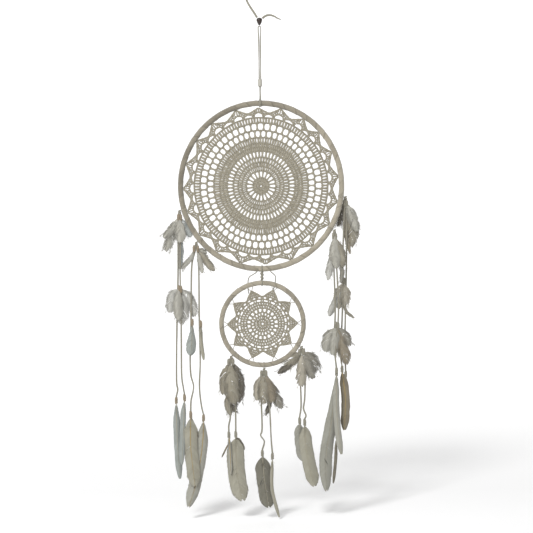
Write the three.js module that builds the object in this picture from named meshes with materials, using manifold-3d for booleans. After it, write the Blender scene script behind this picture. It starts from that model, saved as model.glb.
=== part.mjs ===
// A dream catcher that hangs from a loop of cord: two taped hoops with crocheted doilies, and seven
// folded cords with downy tufts and long feathers. Millimetres, +Z up, the front faces -Y.
// The origin is the inside of the loop, where a hook or a pin holds it.
import * as THREE from "three";
import { mergeVertices } from "three/addons/utils/BufferGeometryUtils.js";
import Module from "manifold-3d";

const wasm = await Module();
wasm.setup();

// Driving dimensions.
const LARGE = { radius: 155, band: 5.15, core: 3.3, centreZ: -301, stretch: 1.014, segments: 40 };
const SMALL = { radius: 77.9, band: 4.5, core: 2.7, centreZ: -563, stretch: 1, segments: 30 };
const TAPE = 1.25;
const GAP = 0.35;
const PIVOT_GAP = 0.8;
const DOILY_THICKNESS = 2.2;
const LARGE_TIPS = [6.5, 24.5, 41.5, 56, 74.5, 91.5, 108.5, 128.5, 145, 163.5, 181.5, 198.5, 217, 234.5,
  254, 273, 292.5, 311, 331, 348];
const STAR_TIPS = [0, 36, 72, 108, 144, 180, 216, 252, 288, 324];
const LOOP_CORD_RADIUS = 1.2;
const STRAND_CORD_RADIUS = 1.1;
const THREAD_RADIUS = 0.6;
const TIE_THREAD_RADIUS = 0.9;
const CORD_STEP = 14;
const TUBE_BEAD = { top: -98.5, height: 13.4, radius: 3.9, bore: 3.0 };
const DARK_BEAD = { bottom: 4, height: 14.5, radius: 5.5 };
const KNOT_RADIUS = 3;
const KNOT_STRETCH = 1.2;
const BINDING = { height: 13.5, radius: 3.1 };
const FEATHER_THICKNESS = 1.2;

const COLOURS = {
  tape: { color: 0xa79f8b, roughness: 0.85 },
  rattan: { color: 0xb08d5e, roughness: 0.7 },
  yarn: { color: 0xb3ab96, roughness: 0.9 },
  cord: { color: 0xa59f8d, roughness: 0.85 },
  dark_wood: { color: 0x2a1c12, roughness: 0.4 },
  pale_wood: { color: 0xbdb9ac, roughness: 0.5 },
  binding: { color: 0x96897a, roughness: 0.8 },
  down: { color: 0xa59f8e, roughness: 0.95 },
  feather: { color: 0xa5a294, roughness: 0.6 },
};

// The seven folded cords. Routes run down from the knot as [x, z]; depth moves a tail's end in Y.
const STRANDS = [
  {
    name: "left_outer", hoop: LARGE, angle: 196.3, depth: 0,
    tuft: { length: 100, width: 23, bore: 3.2, lean: -10, flat: 0.6 },
    lowerTuft: { top: -140, x: -2, length: 80, width: 17, bore: 5.6, lean: -3, flat: 0.7 },
    tails: [
      {
        depth: -1.6, route: [[1, -50], [0, -120], [1, -180], [1, -245], [1, -310], [4, -335], [6, -347]],
        feather: { shaft: [[0, 0], [-3, -60], [-6, -121]], left: 6, right: 3 },
      },
      {
        depth: 1.6,
        route: [[-3, -50], [-4, -120], [-6, -180], [-8, -250], [-9, -321], [-7, -338], [-10, -352]],
        feather: { shaft: [[0, 0], [1, -70], [5.5, -143]], left: 6, right: 5 },
      },
    ],
  },
  {
    name: "left_inner", hoop: LARGE, angle: 220, depth: 0,
    tuft: { length: 58, width: 18.5, bore: 3.2, lean: -1, flat: 0.7 },
    tails: [
      {
        depth: -1.6,
        route: [[-9, -43], [-11, -110], [-12, -160], [-14, -214], [-13, -250], [-8, -273], [-13, -299],
          [-14, -319]],
        feather: { shaft: [[0, 0], [-1, -50], [3, -95], [7, -131]], left: 10.5, right: 13 },
      },
      {
        depth: 1.6, route: [[4, -54], [4, -147], [5, -222], [3, -273], [6, -307], [10, -326]],
        feather: { shaft: [[0, 0], [-1.5, -33], [-7, -76], [-17, -123], [-30, -163]], left: 13, right: 11 },
      },
    ],
  },
  {
    name: "small_left", hoop: SMALL, angle: 226, depth: 0,
    tuft: { length: 104, width: 24, bore: 3.2, lean: -1, flat: 0.65 },
    tails: [
      {
        depth: -1.6, route: [[-7, -53], [-5, -88], [-3, -113], [-6, -130], [-6, -141]],
        feather: { shaft: [[0, 0], [2, -30], [3, -68]], left: 3, right: 3 },
      },
      {
        depth: 1.6, route: [[5, -53], [7, -100], [7, -141]],
        feather: { shaft: [[0, 0], [2, -65], [12, -120]], left: 17, right: 15 },
      },
    ],
  },
  {
    name: "small_middle", hoop: SMALL, angle: 271.4, depth: 0,
    tuft: { length: 84, width: 29, bore: 3.6, lean: 8, flat: 0.55 },
    tails: [
      {
        depth: 1.6, route: [[-6, -39], [-5, -111], [-8, -125], [-1, -137], [-5, -153]],
        feather: { shaft: [[0, 0], [3.5, -44], [11.5, -97]], left: 15, right: 14 },
      },
      {
        depth: -1.6, route: [[7, -39], [10, -77], [12, -131], [14, -158]],
        feather: { shaft: [[0, 0], [-1.5, -49], [3.5, -78], [12, -110]], left: 3.2, right: 3.2 },
      },
    ],
  },
  {
    name: "small_right", hoop: SMALL, angle: 328.5, depth: 0,
    tuft: { length: 70, width: 34, bore: 3.6, lean: 2, flat: 0.48 },
    tails: [
      {
        depth: 1.6, route: [[-3, -50], [-2, -109], [-5, -133]],
        feather: { shaft: [[0, 0], [0, -30], [6, -70]], left: 9, right: 8 },
      },
      {
        depth: -1.6, route: [[6, -50], [5, -96], [2.5, -116], [7, -129], [4.5, -136]],
        feather: { shaft: [[0, 0], [3, -49], [17.5, -116]], left: 11, right: 13 },
      },
    ],
  },
  {
    name: "right_inner", hoop: LARGE, angle: 328.6, depth: -6,
    tuft: { length: 90, width: 16, bore: 5, lean: 4, flat: 0.3 },
    tails: [
      {
        depth: -3.5, route: [[3, -60], [6, -149], [1, -208], [-1, -240], [1, -258]],
        feather: { shaft: [[0, 0], [0, -51], [3, -108], [8, -152]], left: 5, right: 4 },
      },
      {
        depth: 3.5, route: [[-2, -60], [0, -149], [-3, -208], [1, -262]],
        feather: {
          shaft: [[0, 0], [-10, -85], [-20, -142], [-22, -180], [-20.5, -219]], left: 12, right: 11,
        },
      },
    ],
  },
  {
    name: "right_outer", hoop: LARGE, angle: 352, depth: 6,
    tuft: { length: 80, width: 18, bore: 5, lean: 4, flat: 0.36 },
    lowerTuft: { top: -165, x: -4, length: 62, width: 19, bore: 7.4, lean: -1, flat: 0.36 },
    tails: [
      {
        depth: -1.6, route: [[-6, -106], [-8, -210], [-11, -271], [-12, -305], [-10, -320]],
        feather: { shaft: [[0, 0], [6, -51], [3, -110]], left: 6, right: 7.5 },
      },
      {
        depth: 1.6, route: [[1, -106], [-2, -210], [-4, -280], [-3, -330]],
        feather: { shaft: [[0, 0], [2, -88]], left: 5, right: 5 },
      },
    ],
  },
];

const catcher = new THREE.Group();

function degrees(angle) {
  return (angle * Math.PI) / 180;
}

// Turns the faces outward: a closed mesh with its faces turned in has a negative volume.
function facingOut(geometry) {
  const mesh = geometry.index ? geometry : mergeVertices(geometry);
  const position = mesh.attributes.position;
  const index = mesh.index.array;
  const corners = [new THREE.Vector3(), new THREE.Vector3(), new THREE.Vector3()];
  let volume = 0;
  for (let i = 0; i < index.length; i += 3) {
    corners.forEach((corner, j) => corner.fromBufferAttribute(position, index[i + j]));
    volume += corners[0].dot(corners[1].cross(corners[2]));
  }
  if (volume < 0) {
    for (let i = 0; i < index.length; i += 3) {
      [index[i + 1], index[i + 2]] = [index[i + 2], index[i + 1]];
    }
  }
  return mesh;
}

// The closed mesh with shared vertices and no empty triangles, as a manifold solid.
function toSolid(geometry) {
  const bare = facingOut(geometry).clone();
  bare.deleteAttribute("normal");
  bare.deleteAttribute("uv");
  const merged = mergeVertices(bare, 1e-4);
  const corners = merged.index.array;
  const faces = [];
  for (let i = 0; i < corners.length; i += 3) {
    const [a, b, c] = [corners[i], corners[i + 1], corners[i + 2]];
    if (a !== b && b !== c && c !== a) faces.push(a, b, c);
  }
  return new wasm.Manifold(new wasm.Mesh({
    numProp: 3,
    vertProperties: Float32Array.from(merged.attributes.position.array),
    triVerts: Uint32Array.from(faces),
  }));
}

function toGeometry(solid) {
  const mesh = solid.getMesh();
  const geometry = new THREE.BufferGeometry();
  geometry.setAttribute("position", new THREE.BufferAttribute(mesh.vertProperties, 3));
  geometry.setIndex(new THREE.BufferAttribute(mesh.triVerts, 1));
  return geometry;
}

function union(...geometries) {
  return toGeometry(geometries.map(toSolid).reduce((whole, piece) => whole.add(piece)));
}

function add(name, geometry, look, position = [0, 0, 0]) {
  const solid = facingOut(geometry);
  solid.computeVertexNormals();
  const mesh = new THREE.Mesh(solid, new THREE.MeshStandardMaterial({ ...COLOURS[look], metalness: 0 }));
  mesh.name = name;
  mesh.position.set(...position);
  catcher.add(mesh);
}

function section(radius, sides) {
  const corner = (k) => {
    const turn = (2 * Math.PI * (k + 0.5)) / sides;
    return new THREE.Vector2(radius * Math.cos(turn), radius * Math.sin(turn));
  };
  return new THREE.Shape(Array.from({ length: sides }, (_, k) => corner(k)));
}

// A round cord along a smooth curve through the points.
function tube(points, radius, step = CORD_STEP, sides = 8) {
  const path = new THREE.CatmullRomCurve3(points.map((point) => new THREE.Vector3(...point)));
  const steps = Math.max(3, Math.round(path.getLength() / step));
  return new THREE.ExtrudeGeometry(section(radius, sides), { extrudePath: path, steps, bevelEnabled: false });
}

// A turned solid around the Z axis from [radius, height] points.
function turned(profile, segments) {
  const points = profile.map(([r, z]) => new THREE.Vector2(r, z));
  return new THREE.LatheGeometry(points, segments).rotateX(Math.PI / 2);
}

// A flat piece in the XZ plane, centred on Y, from a shape drawn in X and Z.
function flat(shape, thickness) {
  const options = { depth: thickness, bevelEnabled: false, curveSegments: 4 };
  return new THREE.ExtrudeGeometry(shape, options).translate(0, 0, -thickness / 2).rotateX(Math.PI / 2);
}

// A ring in the XZ plane from a closed section drawn as [radius, depth] points.
function ring(hoop, profile) {
  const points = profile.map(([r, y]) => new THREE.Vector2(r, y));
  return new THREE.LatheGeometry(points, hoop.segments).scale(1 / hoop.stretch, 1, hoop.stretch);
}

function arc(centre, radius, from, to, count) {
  const at = (k) => degrees(from + ((to - from) * k) / (count - 1));
  return Array.from({ length: count }, (_, k) => [
    centre + radius * Math.cos(at(k)),
    radius * Math.sin(at(k)),
  ]);
}

function onHoop(hoop, angle) {
  const turn = degrees(angle);
  const x = (hoop.radius * Math.cos(turn)) / hoop.stretch;
  const z = hoop.radius * hoop.stretch * Math.sin(turn);
  return [x, 0, hoop.centreZ + z];
}

// A rattan hoop inside a C-shaped skin of tape, which is open along the hoop's inner side.
function addHoop(name, hoop) {
  const core = arc(hoop.radius, hoop.core, 0, 360, 7);
  core[core.length - 1] = core[0];
  add(name, ring(hoop, core), "rattan", [0, 0, hoop.centreZ]);
  const slit = 5;
  const outer = arc(hoop.radius, hoop.band, slit - 180, 180 - slit, 9);
  const inner = arc(hoop.radius, hoop.band - TAPE, 180 - slit * 1.3, slit * 1.3 - 180, 9);
  add(`${name}_wrap`, ring(hoop, [...outer, ...inner, outer[0]]), "tape", [0, 0, hoop.centreZ]);
}

function polar(radius, angle) {
  return new THREE.Vector2(radius * Math.cos(degrees(angle)), radius * Math.sin(degrees(angle)));
}

// One round of openings, each four-sided, between two radii.
function cutRound(shape, count, inner, outer, share, phase = 0) {
  const half = (180 / count) * share;
  for (let k = 0; k < count; k += 1) {
    const middle = (360 * (k + phase)) / count;
    const corners = [
      polar(inner, middle - half * 0.85),
      polar(outer, middle - half),
      polar(outer, middle + half),
      polar(inner, middle + half * 0.85),
    ];
    shape.holes.push(new THREE.Path(corners));
  }
}

// A crocheted disc whose edge is a round of points at the given angles. reachOf gives a point's radius, which
// is less for the upright ones, where a cord ties the hoop.
function doily(tips, valley, shoulder, reachOf) {
  const outline = [];
  tips.forEach((middle, k) => {
    const half = (middle - tips[(k + tips.length - 1) % tips.length] + 720) % 360 / 2;
    const next = (tips[(k + 1) % tips.length] - middle + 720) % 360 / 2;
    outline.push(polar(valley, middle - half));
    outline.push(polar(shoulder, middle - half * 0.6));
    outline.push(polar(reachOf(middle), middle - half * 0.09));
    outline.push(polar(reachOf(middle), middle + next * 0.09));
    outline.push(polar(shoulder, middle + next * 0.6));
  });
  return new THREE.Shape(outline);
}

// Each feather is a flat vane along a curved shaft, pointed at the quill and blunt at the tip.
function featherShape({ shaft, left, right }) {
  const spine = new THREE.SplineCurve(shaft.map(([x, z]) => new THREE.Vector2(x, z)));
  const stations = 10;
  const sides = [[], []];
  for (let k = 0; k <= stations; k += 1) {
    const t = k / stations;
    const point = spine.getPoint(t);
    const along = spine.getTangent(t);
    const across = new THREE.Vector2(-along.y, along.x);
    const fullness = Math.max(0.09, Math.sin(Math.PI * Math.min(0.97, t ** 0.8 + 0.02)) ** 0.55);
    const bare = t < 0.15 ? 0.09 + t : fullness;
    sides[0].push(point.clone().addScaledVector(across, -left * bare));
    sides[1].unshift(point.clone().addScaledVector(across, right * bare));
  }
  return new THREE.Shape([...sides[0], ...sides[1]]);
}

// A skirt of down around the cords: a hollow cone, wide below and open at both ends.
function tuft({ length, width, bore, lean, flat: flatness }) {
  const skin = 1.1;
  const shape = [[bore + skin, 0], [0.5 * width + skin, -0.22 * length], [width, -0.55 * length],
    [0.7 * width, -length]];
  const inside = [[0.7 * width - skin, -length], [width - skin, -0.55 * length],
    [0.5 * width, -0.22 * length], [bore, 0]];
  const skirt = turned([...shape, ...inside, shape[0]], 8).scale(1, flatness, 1);
  const shear = new THREE.Matrix4().set(1, 0, -lean / length, 0, 0, 1, 0, 0, 0, 0, 1, 0, 0, 0, 0, 1);
  return skirt.applyMatrix4(shear);
}

function addHanger() {
  const { bottom, height, radius } = DARK_BEAD;
  const outline = [[0, 0], [1.6, 1.2], [3.4, 4.2], [4.9, 7.4], [radius, 10], [4.9, 12.4], [3, 14],
    [0, height]];
  add("dark_bead", turned(outline, 12), "dark_wood", [0, 0, bottom]);
  const longTail = [[-4.4, 0, 19], [-9, 0, 26.8], [-15, 0, 36], [-20.5, 0, 45], [-25, 0, 55], [-29, 0, 66]];
  const endKnot = new THREE.SphereGeometry(3.2, 8, 6).translate(-29.6, 0, 68.5);
  add("hanger_long_tail", union(tube(longTail, 2, 8), endKnot), "cord");
  const shortTail = [[5.9, 0, 17.4], [9.5, 0, 20.5], [15, 0, 23], [22, 0, 23.2], [29, 0, 20.6], [35, 0, 17],
    [41, 0, 14.8]];
  add("hanger_short_tail", tube(shortTail, 1.9, 5), "cord");
}

function addHangingCords() {
  const bead = TUBE_BEAD;
  const leg = (side) => [[side * 1.42, 0, bead.top - 4], [side * 1.42, 0, -60], [side * 1.55, 0, -24],
    [side * 2.3, 0, -10], [side * 2.4, 0, 0]];
  const bight = arc(0, 2.4, 150, 30, 5).map(([x, z]) => [x, 0, z]);
  const loop = [...leg(-1), ...bight, ...leg(1).reverse()];
  add("hanging_loop", tube(loop, LOOP_CORD_RADIUS, 3.6), "cord");
  const wall = [[bead.bore, 0], [bead.radius - 0.6, 0], [bead.radius, 0.8], [bead.radius, bead.height - 0.8],
    [bead.radius - 0.6, bead.height], [bead.bore, bead.height], [bead.bore, 0]];
  add("tube_bead", turned(wall, 14), "pale_wood", [0, 0, bead.top - bead.height]);
  const hoopTop = LARGE.centreZ + LARGE.radius * LARGE.stretch;
  const around = LARGE.band + GAP + LOOP_CORD_RADIUS;
  const turns = new THREE.TorusGeometry(around, LOOP_CORD_RADIUS, 6, 18);
  turns.rotateY(Math.PI / 2).scale(2.2, 1, 1).translate(0, 0, hoopTop);
  const stem = tube([[0, 0, hoopTop + around], [0, 0, -120], [0, 0, bead.top - bead.height + 5]], 1.8, 8);
  add("hoop_tie", union(stem, turns), "cord");
}

function addHoopLink() {
  const upper = LARGE.centreZ - LARGE.radius * LARGE.stretch;
  const lower = SMALL.centreZ + SMALL.radius;
  const aroundLarge = LARGE.band + GAP + LOOP_CORD_RADIUS;
  const aroundSmall = SMALL.band + GAP + LOOP_CORD_RADIUS;
  const ringAround = (radius, z) =>
    new THREE.TorusGeometry(radius, LOOP_CORD_RADIUS, 6, 18).rotateY(Math.PI / 2).translate(0, 0, z);
  const top = upper - LARGE.band - GAP - 0.2;
  const bottom = lower + SMALL.band + GAP + 0.2;
  const outline = [[0, bottom], [2.4, bottom], [3.2, bottom + 2.6], [2.5, (top + bottom) / 2],
    [3.9, top - 3], [3.1, top], [0, top]];
  const rings = [ringAround(aroundLarge, upper), ringAround(aroundSmall, lower)];
  add("hoop_link", union(turned(outline, 10), ...rings), "cord");
  const left = [[-8, -6.7, -457.5], [-10, -5.8, -464], [-17, -2, -469], [-24, 3, -473.5], [-26.5, 6.4, -480],
    [-27, 6.8, -487], [-27, 6, -493], [-26.5, 3.6, -499], [-26, 2.6, -505]];
  add("link_thread_left", tube(left, TIE_THREAD_RADIUS, 4, 8), "cord");
  const right = [[14, -6.8, -457.5], [16.5, -5.8, -463.5], [21.5, -2, -468], [25.5, 3, -473],
    [25.5, 6.4, -480], [24.5, 6.8, -487], [23, 6, -493], [21, 3.6, -498], [19.5, 2.6, -501]];
  add("link_thread_right", tube(right, TIE_THREAD_RADIUS, 4, 8), "cord");
}

function addDoilies() {
  const rim = (LARGE.radius - LARGE.band - GAP) * Math.cos(Math.PI / LARGE.segments);
  const clear = rim - 2 * LOOP_CORD_RADIUS - 2 * GAP;
  const upright = (angle) => Math.abs(Math.cos(degrees(angle))) < 0.1;
  const large = doily(LARGE_TIPS, 139.5, 142.5, (angle) => (upright(angle) ? clear : rim));
  cutRound(large, 18, 16, 28, 0.62);
  cutRound(large, 30, 92, 103, 0.7);
  cutRound(large, 30, 105.5, 116, 0.7, 0.5);
  const stretched = flat(large, DOILY_THICKNESS).scale(1 / LARGE.stretch, 1, LARGE.stretch);
  add("large_doily", stretched, "yarn", [0, 0, LARGE.centreZ]);

  const innerEdge = SMALL.radius - SMALL.band - 2 * GAP - 2 * THREAD_RADIUS;
  const tip = 66.5;
  const star = doily(STAR_TIPS, 52, 58, () => tip);
  cutRound(star, 18, 22, 29.5, 0.6);
  cutRound(star, 20, 42, 45.5, 0.6);
  add("star_doily", flat(star, DOILY_THICKNESS), "yarn", [0, 0, SMALL.centreZ]);
  const zigzag = [];
  for (let k = 3; k < 13; k += 1) {
    const middle = 36 * k;
    const stops = [[innerEdge, middle - 4.1], [tip + THREAD_RADIUS + GAP, middle], [innerEdge, middle + 4.1]];
    if (k < 12) stops.push([innerEdge, middle + 18]);
    for (const [radius, angle] of stops) {
      const point = polar(radius, angle);
      zigzag.push([point.x, 0, point.y]);
    }
  }
  add("star_doily_lacing", tube(zigzag, THREAD_RADIUS, 4.5, 4), "yarn", [0, 0, SMALL.centreZ]);
}

// Where a folded cord is knotted, just outside the tape.
function knotPlace({ hoop, angle, depth }) {
  const [x, , z] = onHoop(hoop, angle);
  const outward = new THREE.Vector2(x * hoop.stretch, z - hoop.centreZ).normalize();
  const reach = hoop.band + GAP + KNOT_RADIUS * KNOT_STRETCH;
  return [x + outward.x * reach, depth, z + outward.y * reach];
}

function addStrand(strand) {
  const { name, tuft: upper, lowerTuft, tails } = strand;
  const knot = knotPlace(strand);
  const legs = tails.map(({ depth, route }, k) => {
    const start = Math.sign(route[0][0]) * 1.6;
    const end = route.at(-1)[1];
    const points = route.map(([x, z]) => [x, (depth * z) / end, z]);
    const leg = tube([[start, 0, -1], [start, 0, -12], ...points], STRAND_CORD_RADIUS);
    return { geometry: leg, end: points.at(-1) };
  });
  const ball = new THREE.SphereGeometry(KNOT_RADIUS, 8, 6).scale(1, 0.95, KNOT_STRETCH);
  add(`${name}_cord`, union(ball, ...legs.map((leg) => leg.geometry)), "cord", knot);
  const place = (x, y, z) => [knot[0] + x, knot[1] + y, knot[2] + z];
  add(`${name}_tuft`, tuft(upper), "down", place(0, 0, -KNOT_RADIUS * KNOT_STRETCH - GAP));
  if (lowerTuft) add(`${name}_lower_tuft`, tuft(lowerTuft), "down", place(lowerTuft.x, 0, lowerTuft.top));
  tails.forEach(({ feather }, k) => {
    const letter = "ab"[k];
    const [x, y, z] = legs[k].end;
    const { height, radius } = BINDING;
    const top = z - PIVOT_GAP;
    const barrel = [[0, -height], [radius * 0.8, -height], [radius, -height * 0.72],
      [radius * 0.88, -height * 0.5], [radius, -height * 0.28], [radius * 0.65, 0], [0, 0]];
    add(`${name}_binding_${letter}`, turned(barrel, 8), "binding", place(x, y, top));
    add(`${name}_feather_${letter}`, flat(featherShape(feather), FEATHER_THICKNESS), "feather",
      place(x, y, top - height - GAP));
  });
}

addHanger();
addHangingCords();
addHoop("large_hoop", LARGE);
addHoop("small_hoop", SMALL);
addDoilies();
addHoopLink();
STRANDS.forEach(addStrand);

export default catcher;
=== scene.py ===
"""A dream catcher: taped hoops, crocheted doilies, suede cords, tufts of down and long feathers.

Lengths are in millimetres until a mesh is made, in the CAD frame: +Z up, the front faces -Y, and the
origin is the inside of the hanging loop. Every piece rides on a CAD body.
"""
import math

import bpy
import numpy as np
from mathutils import Matrix, Vector


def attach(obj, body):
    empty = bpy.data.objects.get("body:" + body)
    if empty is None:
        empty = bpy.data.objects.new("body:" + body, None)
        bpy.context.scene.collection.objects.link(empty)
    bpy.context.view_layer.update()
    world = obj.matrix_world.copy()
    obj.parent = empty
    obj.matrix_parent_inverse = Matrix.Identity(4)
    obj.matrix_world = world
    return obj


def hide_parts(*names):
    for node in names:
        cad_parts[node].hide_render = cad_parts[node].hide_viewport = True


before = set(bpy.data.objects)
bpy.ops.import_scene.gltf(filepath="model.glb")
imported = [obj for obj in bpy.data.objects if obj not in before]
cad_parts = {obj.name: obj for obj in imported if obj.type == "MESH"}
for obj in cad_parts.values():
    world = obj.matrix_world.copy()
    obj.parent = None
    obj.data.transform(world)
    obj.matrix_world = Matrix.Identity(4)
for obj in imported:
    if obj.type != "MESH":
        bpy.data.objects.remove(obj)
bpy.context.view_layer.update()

MM = 0.001
# A hoop's tape has this many turns, this tone and this much painted shade, darker on the left and lighter on
# the right.
LARGE = {
    "radius": 155, "band": 5.15, "centre": -301, "stretch": 1.014, "turns": 41, "tone": 0.55, "painted_side_shade": 0.46,
    "body": "large_ring",
}
SMALL = {
    "radius": 77.9, "band": 4.5, "centre": -563, "stretch": 1.0, "turns": 22, "tone": 0.72, "painted_side_shade": 0.0,
    "body": "small_ring",
}
LARGE_TIPS = [6.5, 24.5, 41.5, 56, 74.5, 91.5, 108.5, 128.5, 145, 163.5, 181.5, 198.5, 217, 234.5, 254, 273,
              292.5, 311, 331, 348]
GAP = 0.35
PIVOT_GAP = 0.8
KNOT = {"radius": 3, "stretch": 1.2}
BINDING = {"height": 13.5, "radius": 2.9}
LACE = {"width": 3.2, "thickness": 1.6}
TUBE_BEAD = {"top": -98.5, "height": 13.4, "radius": 3.9, "bore": 3.0}
DARK_BEAD = {"bottom": 4, "radius": 5.5}
TUFT_BINDING = {"height": 13.0, "radius": 2.7}
CAMERA = {"place": (0.0087, -2.39, -0.454), "lens": 85, "sensor": 36, "roll": 0.0105}
KEY_LIGHT = {"place": (-1.1, -2.35, 1.55), "aim": (0.05, 0.0, -0.6), "size": 0.8, "energy": 74}
SKY = 0.66
SWEEP = {"floor": -0.9345, "near": -4.0, "back": 3.0, "bend": 1.6, "top": 4.0, "side": 9.0}
# How far a material's noise moves its tone, a yarn's twist in radians per mm, and the points of a stitch.
MOTTLE = 0.5
YARN_TWIST = 0.9
PER_STITCH = 4
SEEDS = {"cord": 100, "pendant": 300, "tuft": 500, "extra": 700}
RIGHT = np.array([1.0, 0.0, 0.0])
FRONT = np.array([0.0, -1.0, 0.0])
UP = np.array([0.0, 0.0, 1.0])
LEVEL = (RIGHT, -FRONT, UP)


def tail_spec(depth, route, shaft, left, right, tone, **more):
    """A tail of a folded cord: a route down from the knot as (x, z), and depth, which moves its end in Y.

    Its feather is a shaft below the binding, its left and right half widths and its tone. A spur is a small
    feather beside it, a nick is a slit in its vane drawn as a dark strip of painted shade, and rise is the
    share of it over which it widens.
    """
    feather_spec = {"shaft": shaft, "left": left, "right": right, "tone": tone, **more}
    return {"depth": depth, "route": route, "feather": feather_spec}


def tuft_spec(place, quills, plumes, wound="cord", in_cad=True):
    """A tuft: two wound quills as (x, z), and small feathers as points, half width, fluff and tone."""
    return {"place": place, "quills": quills, "plumes": plumes, "wound": wound, "in_cad": in_cad}


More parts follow.
